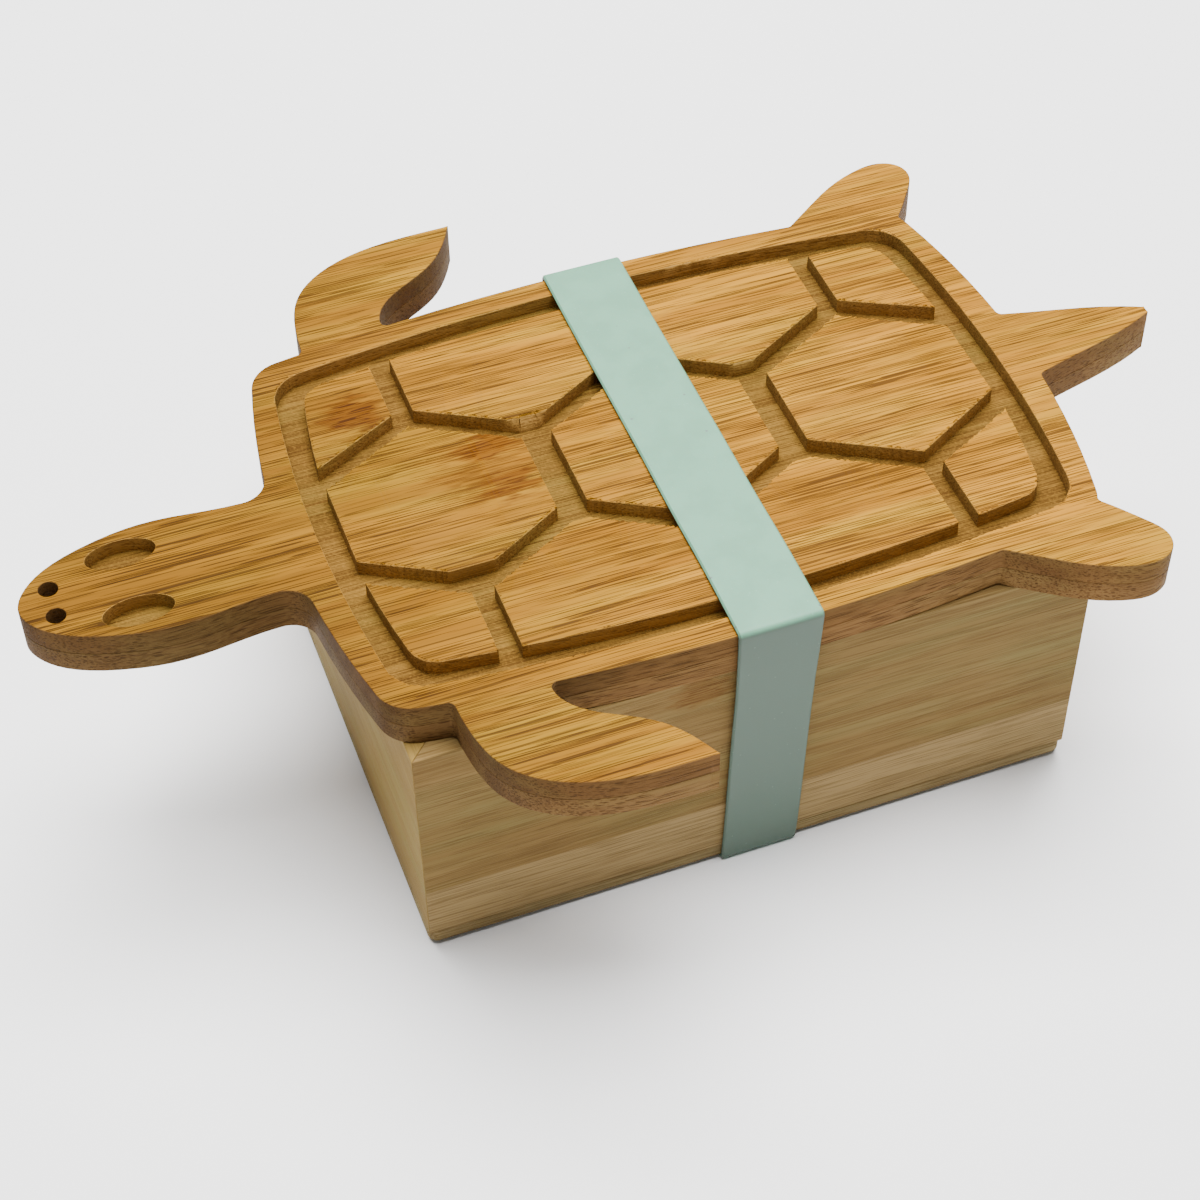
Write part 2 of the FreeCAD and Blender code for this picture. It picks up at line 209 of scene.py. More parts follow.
class Bamboo(Graph):
    """Bamboo as a solid texture drawn out along the fibres: lines along them, dots where they are cut."""

    def __init__(self, name, grain, shift):
        super().__init__(name)
        self.spot = self.place()
        self.grain_axis = "XY".index(grain)
        along = self.spot
        if grain == "Y":
            x, y, z = self.split(self.spot)
            along = self.node("ShaderNodeCombineXYZ", {0: y, 1: x, 2: z})
        self.along = self.vector("ADD", along, tuple(shift * step for step in SHIFT_STEP))

    def fibres(self, length, width):
        """The point in units of this length along the fibres and this width across them."""
        return self.vector("MULTIPLY", self.along, (1.0 / length, 1.0 / width, 1.0 / width))

    def strips(self, light, dark, width):
        """The tone of the wood: glued strips, each a little different, with broad bands along them."""
        _, across, up = self.split(self.along)
        column = self.math("FLOOR", self.math("DIVIDE", across, width))
        layer = self.math("FLOOR", self.math("DIVIDE", up, width))
        cell = self.node("ShaderNodeCombineXYZ", {0: column, 1: layer})
        strip_tone = self.node("ShaderNodeTexWhiteNoise", {"Vector": cell})
        band_tone = self.between(self.noise(self.fibres(*TONE_BANDS), detail=3.0), *FULL_RANGE)
        tone = self.math("ADD", self.times(band_tone, TONE_SHARE), self.times(strip_tone, 1.0 - TONE_SHARE))
        golden = self.between(self.noise(self.fibres(*GOLDEN_BANDS)), *FULL_RANGE)
        straw = tuple(part * share for part, share in zip(light, STRAW))
        return self.mix(tone, dark, self.mix(golden, light, straw))

    def foot(self, colour, height):
        """A paler strip at the foot of a wall, up to this height: partly the wall's own paler wood, partly
        painted light that lifts the shade near the floor.
        """
        below = self.between(self.split(self.spot)[2], height + FOOT_SOFT, height - FOOT_SOFT)
        return self.mix(self.times(below, FOOT_SHARE), colour, PALE_AND_LIT_STRIP)

    def lines(self, size, crowd):
        """Crisp lines along the fibres, denser where crowd is high."""
        field = self.noise(self.fibres(*size), detail=1.0)
        denser = self.times(self.math("SUBTRACT", crowd, MIDDLE), CROWD_SHARE)
        return self.between(self.math("ADD", field, denser), *LINE_RANGE)

    def streaks(self):
        """Long and short lines together, over faint wide streaks."""
        crowd = self.noise(self.fibres(*CROWDING))
        wide = self.between(self.noise(self.fibres(*WIDE_STREAKS)), *WIDE_RANGE)
        long_lines = self.times(self.lines(LONG_LINES, crowd), LONG_SHARE)
        streaks = self.math("MAXIMUM", self.times(wide, WIDE_SHARE), long_lines)
        return self.math("MAXIMUM", streaks, self.lines(SHORT_LINES, crowd))

    def node_marks(self, colour, marks):
        """The bamboo's node marks: brown blushes full of short dark fibres."""
        wander = self.noise(self.vector("MULTIPLY", self.along, NODE_WANDER), detail=4.0)
        ragged = self.times(self.math("SUBTRACT", wander, MIDDLE), NODE_RAGGED)
        short = self.between(self.noise(self.fibres(*NODE_FIBRES), detail=1.0), *NODE_FIBRE_RANGE)
        for middle, half_sizes, strength in marks:
            shares = tuple(1.0 / half for half in half_sizes)
            away = self.vector("MULTIPLY", self.vector("SUBTRACT", self.spot, middle), shares)
            reach = self.node("ShaderNodeVectorMath", {0: away}, 1, operation="LENGTH")
            patch = self.times(self.between(self.math("ADD", reach, ragged), *NODE_RANGE), strength)
            colour = self.mix(self.times(patch, BLUSH_SHARE), colour, NODE_BLUSH)
            colour = self.mix(self.times(patch, short), colour, NODE_BROWN)
        return colour

    def fade(self, colour, start, stop, share):
        """Painted shade, darker along X from none at start to this share at stop, where the light falls off.
        """
        far = self.between(self.split(self.spot)[0], start, stop)
        return self.mix(self.times(far, share), colour, BLACK)

    def cut_ends_and_shade(self, colour, share):
        """Darker where a surface faces along the fibres: partly the cut ends' own darker tone, partly
        painted shade on walls that face away from the light.
        """
        cut = self.between(self.facing(self.grain_axis), *END_RANGE)
        return self.mix(self.times(cut, share), colour, BLACK)

    def ripples(self):
        """The fine waves that a cutter leaves."""
        return self.node("ShaderNodeTexWave", {"Vector": self.spot, "Scale": 0.45, "Distortion": 2.5,
                                               "Detail": 2.0, "Detail Scale": 1.5}, 1,
                         bands_direction="DIAGONAL")


def bamboo(name, light, dark, fibre, grain="X", shift=0.0, strip=7.0, streak=0.7, dash=0.35, roughness=0.52,
           marks=(), tooled=0.0, end_grain_and_shade=1.0, fade=None, pale_and_lit_foot=0.0):
    """A bamboo surface.

    light, dark and fibre are colours, and grain is the axis that the fibres follow. shift picks another part
    of the pattern. strip is the width of the glued strips. streak and dash say how strong the lines and the
    fibre bundles are. marks are node marks, each (middle, half sizes, strength). tooled is how much a cutter
    has roughened the surface. end_grain_and_shade is how bright the faces along the fibres are beside the
    long sides, partly the darker cut ends and partly painted shade. fade is (start, stop, share), places
    along X between which painted shade grows darker. pale_and_lit_foot is the height of a paler strip at the
    foot, partly painted light.
    """
    graph = Bamboo(name, grain, shift)
    colour = graph.strips(light, dark, strip)
    # A paler strip at the foot, partly painted light.
    if pale_and_lit_foot:
        colour = graph.foot(colour, pale_and_lit_foot)
    streaks = graph.streaks()
    colour = graph.mix(graph.times(streaks, streak), colour, fibre)
    bundles = graph.between(graph.cells(graph.fibres(*BUNDLES)), *BUNDLE_RANGE)
    colour = graph.mix(graph.times(bundles, dash), colour, tint(fibre, BUNDLE_TINT))
    colour = graph.node_marks(colour, marks)
    # Painted shade, darker along X where the light falls off.
    if fade:
        colour = graph.fade(colour, *fade)
    # Darker faces along the fibres: partly the cut ends' own tone, partly painted shade.
    if end_grain_and_shade < 1.0:
        colour = graph.cut_ends_and_shade(colour, 1.0 - end_grain_and_shade)

    scuffs = graph.noise(graph.spot, scale=1.3, detail=4.0, roughness=0.7)
    height = graph.times(graph.math("ADD", streaks, bundles), LINE_DEPTH)
    if tooled:
        ripples = graph.ripples()
        dust = graph.between(scuffs, *DUST_RANGE)
        colour = graph.mix(graph.times(dust, DUST_SHARE * tooled), colour, tint(light, DUST_TINT))
        colour = graph.mix(graph.times(ripples, RIPPLE_SHARE * tooled), colour, fibre)
        height = graph.math("ADD", height, graph.times(scuffs, SCUFF_DEPTH * tooled))
        height = graph.math("ADD", height, graph.times(ripples, RIPPLE_DEPTH * tooled))
    rough = graph.math("ADD", graph.times(scuffs, ROUGHNESS_SPAN), roughness - ROUGHNESS_SPAN / 2)
    return graph.finish(colour, rough, graph.bump(height, *WOOD_BUMP), Specular_IOR_Level=0.5, IOR=1.1)


FIBRE = (0.055, 0.022, 0.004, 1.0)
ANY = math.inf
LID_MARKS = (
    ((-76.0, 39.0, 0.0), (9.0, 8.0, ANY), 1.0),
    ((-46.0, 6.0, 0.0), (18.0, 16.0, ANY), 0.38),
    ((-46.5, 13.5, 0.0), (8.0, 5.0, ANY), 0.9),
    ((-44.0, -1.5, 0.0), (8.0, 6.0, ANY), 0.8),
)
WALL_MARKS = (
    ((-17.0, 0.0, 74.0), (9.0, ANY, 6.0), 0.45),
)
# Painted shade on the lid's face and sides, darker towards the head where the light falls off: (start, stop,
# share) along X.
FACE_PAINTED_SHADE = (20.0, -130.0, 0.46)
SIDE_PAINTED_SHADE = (-40.0, -100.0, 0.30)
# How bright the lid's sides stay where they face along the fibres: partly the darker cut ends, partly
# painted shade.
SIDE_ENDS_AND_SHADE = 0.72
LID_SHIFT = 1.0


def lid_face():
    """The lid's upper face: golden, with crisp dark lines and node marks, and painted shade darker towards
    the head.
    """
    return bamboo("lid_face", (0.390, 0.174, 0.013, 1), (0.240, 0.100, 0.008, 1), FIBRE, shift=LID_SHIFT,
                  streak=0.88, marks=LID_MARKS, fade=FACE_PAINTED_SHADE)


def lid_wall():
    """The walls of the carving, a little rough from the cutter."""
    # Its faces along the fibres are darker, partly the cut ends' own tone and partly painted shade.
    return bamboo("lid_carved_wall", (0.38, 0.20, 0.050, 1), (0.28, 0.145, 0.034, 1), tint(FIBRE, 1.8),
                  shift=LID_SHIFT, streak=0.5, roughness=0.75, tooled=0.3, end_grain_and_shade=0.6)


def lid_groove():
    """The floor of the carving, dull and rough from the cutter."""
    return bamboo("lid_groove_floor", (0.17, 0.087, 0.016, 1), (0.095, 0.047, 0.008, 1), tint(FIBRE, 0.8),
                  shift=LID_SHIFT, roughness=0.75, tooled=0.6)


def lid_side_upper():
    """The edge of the upper ply, the darker one."""
    return bamboo("lid_side_upper", (0.205, 0.102, 0.033, 1), (0.146, 0.071, 0.023, 1), FIBRE,
                  shift=LID_SHIFT, streak=0.35, dash=0.55, roughness=0.6, end_grain_and_shade=SIDE_ENDS_AND_SHADE,
                  fade=SIDE_PAINTED_SHADE)


def lid_side_lower():
    """The edge of the lower ply."""
    return bamboo("lid_side_lower", (0.230, 0.119, 0.040, 1), (0.163, 0.083, 0.028, 1), FIBRE, shift=3.0,
                  streak=0.4, dash=0.6, roughness=0.6, end_grain_and_shade=SIDE_ENDS_AND_SHADE, fade=SIDE_PAINTED_SHADE)


def box_long_wall():
    """The long walls: pale and even, with a paler strip at the foot that is partly painted light, and a
    faint node mark.
    """
    return bamboo("box_long_wall", (0.250, 0.157, 0.058, 1), (0.203, 0.125, 0.043, 1),
                  (0.085, 0.044, 0.012, 1), shift=5.0, strip=16.0, streak=0.40, dash=0.3, roughness=0.55,
                  marks=WALL_MARKS, pale_and_lit_foot=24.0)


def box_end_wall():
    """The end walls, paler and plainer than the long ones."""
    return bamboo("box_end_wall", (0.290, 0.184, 0.052, 1), (0.245, 0.153, 0.042, 1), (0.10, 0.06, 0.013, 1),
                  grain="Y", shift=7.0, strip=20.0, streak=0.25, dash=0.1, roughness=0.5)


def box_bottom_panel():
    return bamboo("box_bottom_panel", (0.37, 0.27, 0.13, 1), (0.27, 0.19, 0.085, 1), (0.14, 0.09, 0.03, 1),
                  shift=9.0, dash=0.4, roughness=0.62)


def inner_board(name, grain, shift):
    """A board inside the box."""
    return bamboo(name, (0.30, 0.17, 0.05, 1), (0.2, 0.11, 0.03, 1), FIBRE, grain=grain, shift=shift,
                  strip=16.0, streak=0.4, dash=0.4)


# ---------------------------------------------------------------- silicone and floor

SAGE = (0.100, 0.242, 0.154, 1)
SAGE_SMEAR = (0.112, 0.266, 0.170, 1)
# Painted shade: the silicone's colour where it doesn't face up.
SAGE_PAINTED_SHADE = (0.078, 0.124, 0.090, 1)
SPECK = (0.10, 0.15, 0.12, 1)
LINT = (0.26, 0.42, 0.33, 1)
PAINTED_SHADE_RANGE = (0.80, 0.25)
SPECK_RANGE = (0.060, 0.035)
LINT_RANGE = (0.10, 0.05)
LINT_SHARE = 0.18
FLOOR_TONES = ((0.84, 0.84, 0.84, 1.0), (0.87, 0.87, 0.87, 1.0))


def silicone():
    """Matte sage silicone with painted shade, darker and greyer where it doesn't face up, and faint smears,
    dark specks and lint.
    """
    graph = Graph("sage_silicone")
    place = graph.place()
    smears = graph.between(graph.noise(place, scale=0.12, detail=3.0), *FULL_RANGE)
    colour = graph.mix(smears, SAGE, SAGE_SMEAR)
    # Painted shade: darker and greyer where the band doesn't face up.
    colour = graph.mix(graph.between(graph.facing(2), *PAINTED_SHADE_RANGE), colour, SAGE_PAINTED_SHADE)
    specks = graph.between(graph.cells(place, scale=0.13), *SPECK_RANGE)
    colour = graph.mix(specks, colour, SPECK)
    lint = graph.between(graph.cells(place, scale=0.35), *LINT_RANGE)
    colour = graph.mix(graph.times(lint, LINT_SHARE), colour, LINT)
    grain = graph.noise(place, scale=2.2, detail=4.0, roughness=0.7)
    rough = graph.math("ADD", graph.times(grain, 0.14), 0.46)
    return graph.finish(colour, rough, graph.bump(grain, 0.35, 0.08 * MM), Specular_IOR_Level=0.38,
                        Subsurface_Weight=0.08, Subsurface_Scale=0.002)


def floor_finish():
    """A plain pale floor with hardly any texture."""
    graph = Graph("pale_floor")
    cloud = graph.noise(graph.place(), scale=0.01)
    rough = graph.math("ADD", graph.times(cloud, 0.05), 0.75)
    return graph.finish(graph.mix(cloud, *FLOOR_TONES), rough, graph.bump(cloud, 0.05, 0.1 * MM),
                        Specular_IOR_Level=0.1)


# ---------------------------------------------------------------- shared mesh code

WELD = 0.001 * MM
SAME_HEIGHT = 0.01 * MM
LEVEL_NORMAL = 0.99
FLAT_NORMAL = 0.9
STEEP_NORMAL = 0.5
SMOOTH_ANGLE = math.radians(38)
BORDER = 0.5 * MM
WIDEST_INSET = 0.95 * MM
LONGEST_MITRE = 2.2
LEAST_HALF_SINE = 0.1
SHARP_HALF_SINE = 0.9
LEAST_OFFSET = 0.08
OFFSET_ROOM = 0.85
# How triangles are made: only inside the given edges, and points this close are one.
INSIDE_ONLY = 1
TOUCHING = 1e-7


def new_piece(name, mesh, materials):
    """An object from a bmesh, smooth where its faces meet at small angles."""
    data = bpy.data.meshes.new(name)
    bmesh.ops.recalc_face_normals(mesh, faces=mesh.faces)
    mesh.to_mesh(data)
    mesh.free()
    for material in materials:
        data.materials.append(material)
    for face in data.polygons:
        face.use_smooth = True
    data.set_sharp_from_angle(angle=SMOOTH_ANGLE)
    piece = bpy.data.objects.new(name, data)
    bpy.context.scene.collection.objects.link(piece)
    return piece


def cad_mesh(node):
    """A joined-up copy of a CAD node's mesh."""
    mesh = bmesh.new()
    mesh.from_mesh(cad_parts[node].data)
    bmesh.ops.remove_doubles(mesh, verts=mesh.verts, dist=WELD)
    mesh.normal_update()
    return mesh


def levels(node):
    """The heights of a node's level faces."""
    mesh = cad_mesh(node)
    level = [face for face in mesh.faces if abs(face.normal.z) > LEVEL_NORMAL]
    heights = {round(face.calc_center_median().z, 5) for face in level}
    mesh.free()
    return heights


def rim_links(mesh, height):
    """Where each corner of the flat face's rim at this height leads to, with the wall's direction there."""
    links = {}
    for edge in mesh.edges:
        flat = [face for face in edge.link_faces if abs(face.normal.z) > FLAT_NORMAL]
        steep = [face for face in edge.link_faces if abs(face.normal.z) < STEEP_NORMAL]
        level = all(abs(vert.co.z - height) < SAME_HEIGHT for vert in edge.verts)
        if level and len(flat) == 1 and len(steep) == 1:
            outward = Vector((steep[0].normal.x, steep[0].normal.y, 0)).normalized()
            for here, there in (edge.verts, reversed(edge.verts)):
                links.setdefault(here.index, []).append((there.index, outward))
    return links


def outlines(node, height):
    """The closed loops where the node's flat face at this height meets upright walls, the longest first.

    Each loop is a list of segments (start, end, outward), walked so that each ends where the next starts;
    outward is the wall's direction away from the wood.
    """
    mesh = cad_mesh(node)
    links = rim_links(mesh, height)
    points = [vert.co.copy() for vert in mesh.verts]
    mesh.free()
    loops = []
    while links:
        start = here = min(links)
        before = None
        loop = []
        while here in links:
            steps = [step for step in links.pop(here) if step[0] != before]
            there, outward = steps[0]
            loop.append((points[here], points[there], outward))
            before, here = here, there
        assert here == start, "an outline of %s is open" % node
        loops.append(loop)
    return sorted(loops, key=lambda loop: -sum((end - first).length for first, end, _ in loop))


def resample(loop, step):
    """Points along a loop, about step apart, as (point, offset for a unit of inset, wall's direction).

    Beside a sharp corner that points away from the wood the offsets shrink, so that its sides never cross.
    """
    rim = []
    sharp = []
    for number, (start, end, outward) in enumerate(loop):
        before = loop[number - 1][2]
        mitre = (before + outward).normalized()
        half_sine = max(mitre.dot(outward), LEAST_HALF_SINE)
        rim.append((start, mitre * min(1.0 / half_sine, LONGEST_MITRE), mitre))
        if half_sine < SHARP_HALF_SINE and (outward - before).dot(end - start) > 0:
            sharp.append((start, math.tan(math.asin(half_sine))))
        count = max(1, round((end - start).length / step))
        for part in range(1, count):
            rim.append((start.lerp(end, part / count), outward, outward))
    eased = []
    for point, offset, outward in rim:
        room = min([(point - corner).length * slope for corner, slope in sharp], default=1.0)
        share = min(1.0, max(LEAST_OFFSET, OFFSET_ROOM * room / WIDEST_INSET))
        eased.append((point, offset * share, outward))
    return eased


def sweep(mesh, rim, profile, rough=None):
    """Rows of vertices along a rim, one for each (inset, drop) of the profile, joined by faces.

    rough(point, outward, inset, drop) says how far to move a vertex. The rows and the faces between them
    are returned.
    """
    rows = []
    for inset, drop in profile:
        row = []
        for point, offset, outward in rim:
            spot = point - offset * inset - UP * drop
            if rough:
                spot += rough(point, outward, inset, drop)
            row.append(mesh.verts.new(spot))
        rows.append(row)
    bands = []
    for upper, lower in zip(rows, rows[1:]):
        band = []
        for number in range(len(rim)):
            band.append(mesh.faces.new((upper[number - 1], upper[number], lower[number], lower[number - 1])))
        bands.append(band)
    return rows, bands


def cap(mesh, rows, material):
    """Fill the level area between closed rows of vertices with triangles.

    A triangle is kept if a line from its middle crosses the rows an odd number of times.
    """
    verts = [vert for row in rows for vert in row]
    spots = [(vert.co / MM).xy for vert in verts]
    edges = []
    for row in rows:
        first = len(edges)
        edges += [(first + number, first + (number + 1) % len(row)) for number in range(len(row))]
    triangles = delaunay_2d_cdt(spots, edges, [], INSIDE_ONLY, TOUCHING)[2]
    starts = np.array([spots[start] for start, _ in edges])
    ends = np.array([spots[end] for _, end in edges])
    for corners in triangles:
        x, y = np.mean([spots[corner] for corner in corners], axis=0)
        level = (starts[:, 1] > y) != (ends[:, 1] > y)
        run = ends[level] - starts[level]
        crossings = starts[level, 0] + (y - starts[level, 1]) * run[:, 0] / run[:, 1]
        if np.count_nonzero(crossings > x) % 2:
            mesh.faces.new([verts[corner] for corner in corners]).material_index = material


def edge_profile(radius, depth):
    """A rounded top edge with a narrow level border, and an upright wall below it."""
    rows = [(radius + BORDER, 0.0)]
    for turn in (0, 30, 60, 90):
        angle = math.radians(turn)
        rows.append((radius * (1 - math.sin(angle)), radius * (1 - math.cos(angle))))
    rows.append((0.0, depth))
    return rows


def bottom_profile(radius, depth):
    """A rounded lower edge at this depth with a narrow level border."""
    rows = []
    for turn in (90, 45, 0):
        angle = math.radians(turn)
        rows.append((radius * (1 - math.sin(angle)), depth - radius * (1 - math.cos(angle))))
    rows.append((radius + BORDER, depth))
    return rows


def paint(bands, material):
    """Give a material to the faces of some bands."""
    for band in bands:
        for face in band:
            face.material_index = material


# ---------------------------------------------------------------- lid

FACE, WALL, GROOVE, SIDE = range(4)
STEP = 0.8 * MM
CARVED_STEP = 0.5 * MM
HOLE_STEP = STEP * 0.6
CARVED_RADIUS = 0.3 * MM
ROUNDED_REACH = CARVED_RADIUS * 1.01
OUTLINE_RADIUS = 0.3 * MM
HOLE_RADIUS = 0.25 * MM
UNDERSIDE_RADIUS = 0.45 * MM
NOSTRIL_RADIUS = 0.2 * MM
GLUE_LINE = 0.12 * MM
SAME_HOLE = 3 * MM
LEAST_CARVING = 0.1 * MM
# An edge's border and the upper part of its rounding look like the face.
ROUNDED_ROWS = 2

CHIPS = (
    # x, y, reach, width and depth in millimetres: a scute's point that broke off, and splinters elsewhere
    (-31.5, 19.5, 6.5, 2.2, 4.2),
    (31.5, 20.5, 4.0, 0.8, 1.6),
    (-27.0, 29.0, 3.0, 0.6, 1.0),
    (28.0, 65.0, 2.2, 0.5, 0.6),
    (33.0, 64.8, 1.4, 0.6, 0.9),
    (41.0, 64.3, 1.8, 0.4, 0.6),
)
CHIP_DEPTH, CHIP_CHATTER = 0.95, 0.15

# The torn fibres of the carved edges: waves for each millimetre, depths in millimetres, and how far a tear
# goes inward and down for each unit of its depth.
CHATTER_RATE = 1.6
BURST_RATE = 0.25
LEAST_SLANT = 0.15
SLANT_GAIN = 2.4
EVEN_TEAR = 0.10
SLANT_TEAR = 1.10
BURST_TEAR = 1.4
BURST_START, CHATTER_START = 0.05, 0.25
DEEPEST_TEAR = 0.6
TEAR_INWARD, TEAR_DOWN = 0.6, 0.7


def ripple(spot, rate, layer):
    """A smooth noise over the lid, about -1 to 1."""
    return noise.noise(Vector((spot.x * rate, spot.y * rate, layer)))


def chipped(spot, outward, slope, chatter):
    """How far the chips move an edge, so that its rows make a slope from the face down to the wall."""
    move = Vector((0, 0, 0))
    for x, y, reach, width, depth in CHIPS:
        away = math.hypot(spot.x - x, spot.y - y) / reach
        if away < 1:
            back = outward * width * (1 - slope)
            down = UP * depth * slope * (CHIP_DEPTH + CHIP_CHATTER * chatter)
            move -= (back + down) * (1 - away * away) * MM
    return move


def torn_depth(spot, outward, chatter):
    """How deep the cutter tore the fibres: most where it crossed them at a slant, and in bursts."""
    slant = min(1.0, LEAST_SLANT + SLANT_GAIN * abs(outward.x) * outward.y ** 2)
    burst = max(0.0, ripple(spot, BURST_RATE, 9.0) + BURST_START) * max(0.0, chatter + CHATTER_START)
    deep = (EVEN_TEAR + SLANT_TEAR * slant) * abs(chatter) + BURST_TEAR * burst * slant
    return min(deep, DEEPEST_TEAR) * MM


def torn(point, outward, inset, drop):
    """How far a vertex of a carved edge is moved by chips and torn fibres."""
    if drop > ROUNDED_REACH:
        return Vector((0, 0, 0))
    spot = point / MM
    chatter = ripple(spot, CHATTER_RATE, 3.0)
    move = chipped(spot, outward, drop / CARVED_RADIUS, chatter)
    if inset < ROUNDED_REACH:
        move -= (outward * TEAR_INWARD + UP * TEAR_DOWN) * torn_depth(spot, outward, chatter)
    return move


def carved_ply():
    """The upper ply: its outline, the eyes and nostrils, and the shell carved into it."""
    loops = outlines("lid_top_ply", LID_TOP)
    outline, rim = loops[0], loops[1]
    front_of_shell = min(start.x for start, _, _ in rim)
    holes = [loop for loop in loops[2:] if loop[0][0].x < front_of_shell]
    scutes = [loop for loop in loops[2:] if loop[0][0].x > front_of_shell]
    thick = LID_TOP - LID_FLOOR
    lower = outlines("lid_top_ply", LID_FLOOR)
    carve = LID_TOP - max(height for height in levels("lid_top_ply") if height < LID_TOP - LEAST_CARVING)
    mesh = bmesh.new()

    profile = edge_profile(OUTLINE_RADIUS, thick - GLUE_LINE) + [(GLUE_LINE, thick)]
    rows, bands = sweep(mesh, resample(outline, STEP), profile)
    paint(bands[ROUNDED_ROWS:], SIDE)
    face_rows = [rows[0]]
    under_rows = [rows[-1]]

    profile = edge_profile(CARVED_RADIUS, carve)
    rows, bands = sweep(mesh, resample(rim, CARVED_STEP), profile, torn)
    paint(bands[ROUNDED_ROWS:], WALL)
    face_rows.append(rows[0])
    floor_rows = [rows[-1]]

    for loop in scutes:
        rows, bands = sweep(mesh, resample(loop, CARVED_STEP), profile, torn)
        paint(bands[ROUNDED_ROWS:], WALL)
        cap(mesh, [rows[0]], FACE)
        floor_rows.append(rows[-1])

    for loop in holes:
        through = any((end[0][0] - loop[0][0]).xy.length < SAME_HOLE for end in lower)
        profile = edge_profile(HOLE_RADIUS, thick if through else carve)
        rows, bands = sweep(mesh, resample(loop, HOLE_STEP), profile)
        paint(bands[ROUNDED_ROWS:], SIDE if through else WALL)
        face_rows.append(rows[0])
        if through:
            under_rows.append(rows[-1])
        else:
            cap(mesh, [rows[-1]], GROOVE)
    cap(mesh, face_rows, FACE)
    cap(mesh, floor_rows, GROOVE)
    cap(mesh, under_rows, SIDE)
    return new_piece("lid_top_board", mesh, [LID_FACE, LID_WALL, LID_GROOVE, LID_SIDE_UPPER])


def lower_ply():
    """The lower ply, with the nostrils through it."""
    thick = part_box("lid_bottom_ply")[1].z - LID_UNDERSIDE
    mesh = bmesh.new()
    top_rows = []
    under_rows = []
    for number, loop in enumerate(outlines("lid_bottom_ply", LID_UNDERSIDE + thick)):
        radius = UNDERSIDE_RADIUS if number == 0 else NOSTRIL_RADIUS
        profile = [(GLUE_LINE, 0.0), (0.0, GLUE_LINE)] + bottom_profile(radius, thick)
        rows, bands = sweep(mesh, resample(loop, STEP), profile)
        paint(bands, SIDE if number == 0 else WALL)
        top_rows.append(rows[0])
        under_rows.append(rows[-1])
    cap(mesh, top_rows, FACE)
    cap(mesh, under_rows, FACE)
    return new_piece("lid_lower_board", mesh, [LID_FACE, LID_WALL, LID_GROOVE, LID_SIDE_LOWER])


# ---------------------------------------------------------------- boards

WORN_RADIUS = 0.35 * MM
SAME_PLANE = math.radians(2)
SHARP_EDGE = math.radians(30)


def worn_board(node, name, material):
    """A copy of a flat CAD board with rounded edges."""
    mesh = cad_mesh(node)
    bmesh.ops.dissolve_limit(mesh, angle_limit=SAME_PLANE, verts=mesh.verts, edges=mesh.edges)
    sharp = [edge for edge in mesh.edges if edge.calc_face_angle(0) > SHARP_EDGE]
    bmesh.ops.bevel(mesh, geom=sharp, offset=WORN_RADIUS, segments=3, affect="EDGES", profile=0.5)
    piece = new_piece(name, mesh, [material])
    weighted = piece.modifiers.new("weighted", "WEIGHTED_NORMAL")
    weighted.keep_sharp = True
    return piece


# ---------------------------------------------------------------- band

BAND_THICK = BOX_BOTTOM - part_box("elastic_band")[0].z
BAND_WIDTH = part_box("elastic_band")[1].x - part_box("elastic_band")[0].x
BAND_GAP = 0.05 * MM
BAND_EDGE = 0.45 * MM
BAND_STEP = 2.0 * MM
BAND_ACROSS = (-1.0, -0.6, -0.2, 0.2, 0.6, 1.0)
# The band's middle at the lid's top and at the box's foot: it leans towards the head going down.
BAND_TOP_X = 3.35 * MM
BAND_FOOT_X = 0.6 * MM
# How much narrower its sides are, and over which share of the height it narrows.
BAND_PULL = 0.045
BAND_EASE = 0.25
WAVER_RATE = 30
WAVER_REACH = 0.25 * MM
BEND_TOP, BEND_LID_FOOT, BEND_BOX_FOOT = 0.6 * MM, 60.0 * MM, 0.8 * MM
LONGEST_BEND = 6 * MM
STRAIGHT = math.radians(89.9)
BEND_POINTS = 8


def band_path():
    """The band's inner line round the lid and the box, as points (y, z)."""
    lid_y = LID_EDGE - BAND_THICK
    box_y = -BOX_SIDE + BAND_GAP
    top = LID_TOP + BAND_GAP
    corners = [(0.0, top, 0.0), (-lid_y, top, BEND_TOP), (-lid_y, LID_UNDERSIDE, BEND_LID_FOOT),
               (-box_y, BOX_BOTTOM, BEND_BOX_FOOT), (box_y, BOX_BOTTOM, BEND_BOX_FOOT),
               (lid_y, LID_UNDERSIDE, BEND_LID_FOOT), (lid_y, top, BEND_TOP)]
    path = []
    for number, (y, z, radius) in enumerate(corners):
        here = Vector((y, z))
        to_before = (Vector(corners[number - 1][:2]) - here).normalized()
        to_after = (Vector(corners[(number + 1) % len(corners)][:2]) - here).normalized()
        half = to_before.angle(to_after) / 2
        if half > STRAIGHT:
            path.append(here)
            continue
        cut = min(radius / math.tan(half), LONGEST_BEND)
        start = here + to_before * cut
        end = here + to_after * cut
        for part in range(BEND_POINTS):
            share = part / (BEND_POINTS - 1)
            path.append(start.lerp(here, share).lerp(here.lerp(end, share), share))
    return path


def spaced(path, step):
    """The closed path with points no further apart than step."""
    dense = []
    for here, after in zip(path, path[1:] + path[:1]):
        count = max(1, math.ceil((after - here).length / step))
        dense += [here.lerp(after, part / count) for part in range(count)]
    return dense


def band_section():
    """The band's cross-section with its edges taken off, as points (across, outward)."""
    half = BAND_WIDTH / 2
    flat = half - BAND_EDGE
    inner = [(part * flat, 0.0) for part in BAND_ACROSS]
    outer = [(part * flat, BAND_THICK) for part in reversed(BAND_ACROSS)]
    first_side = [(half, BAND_EDGE), (half, BAND_THICK - BAND_EDGE)]
    second_side = [(-half, BAND_THICK - BAND_EDGE), (-half, BAND_EDGE)]
    return inner + first_side + outer + second_side


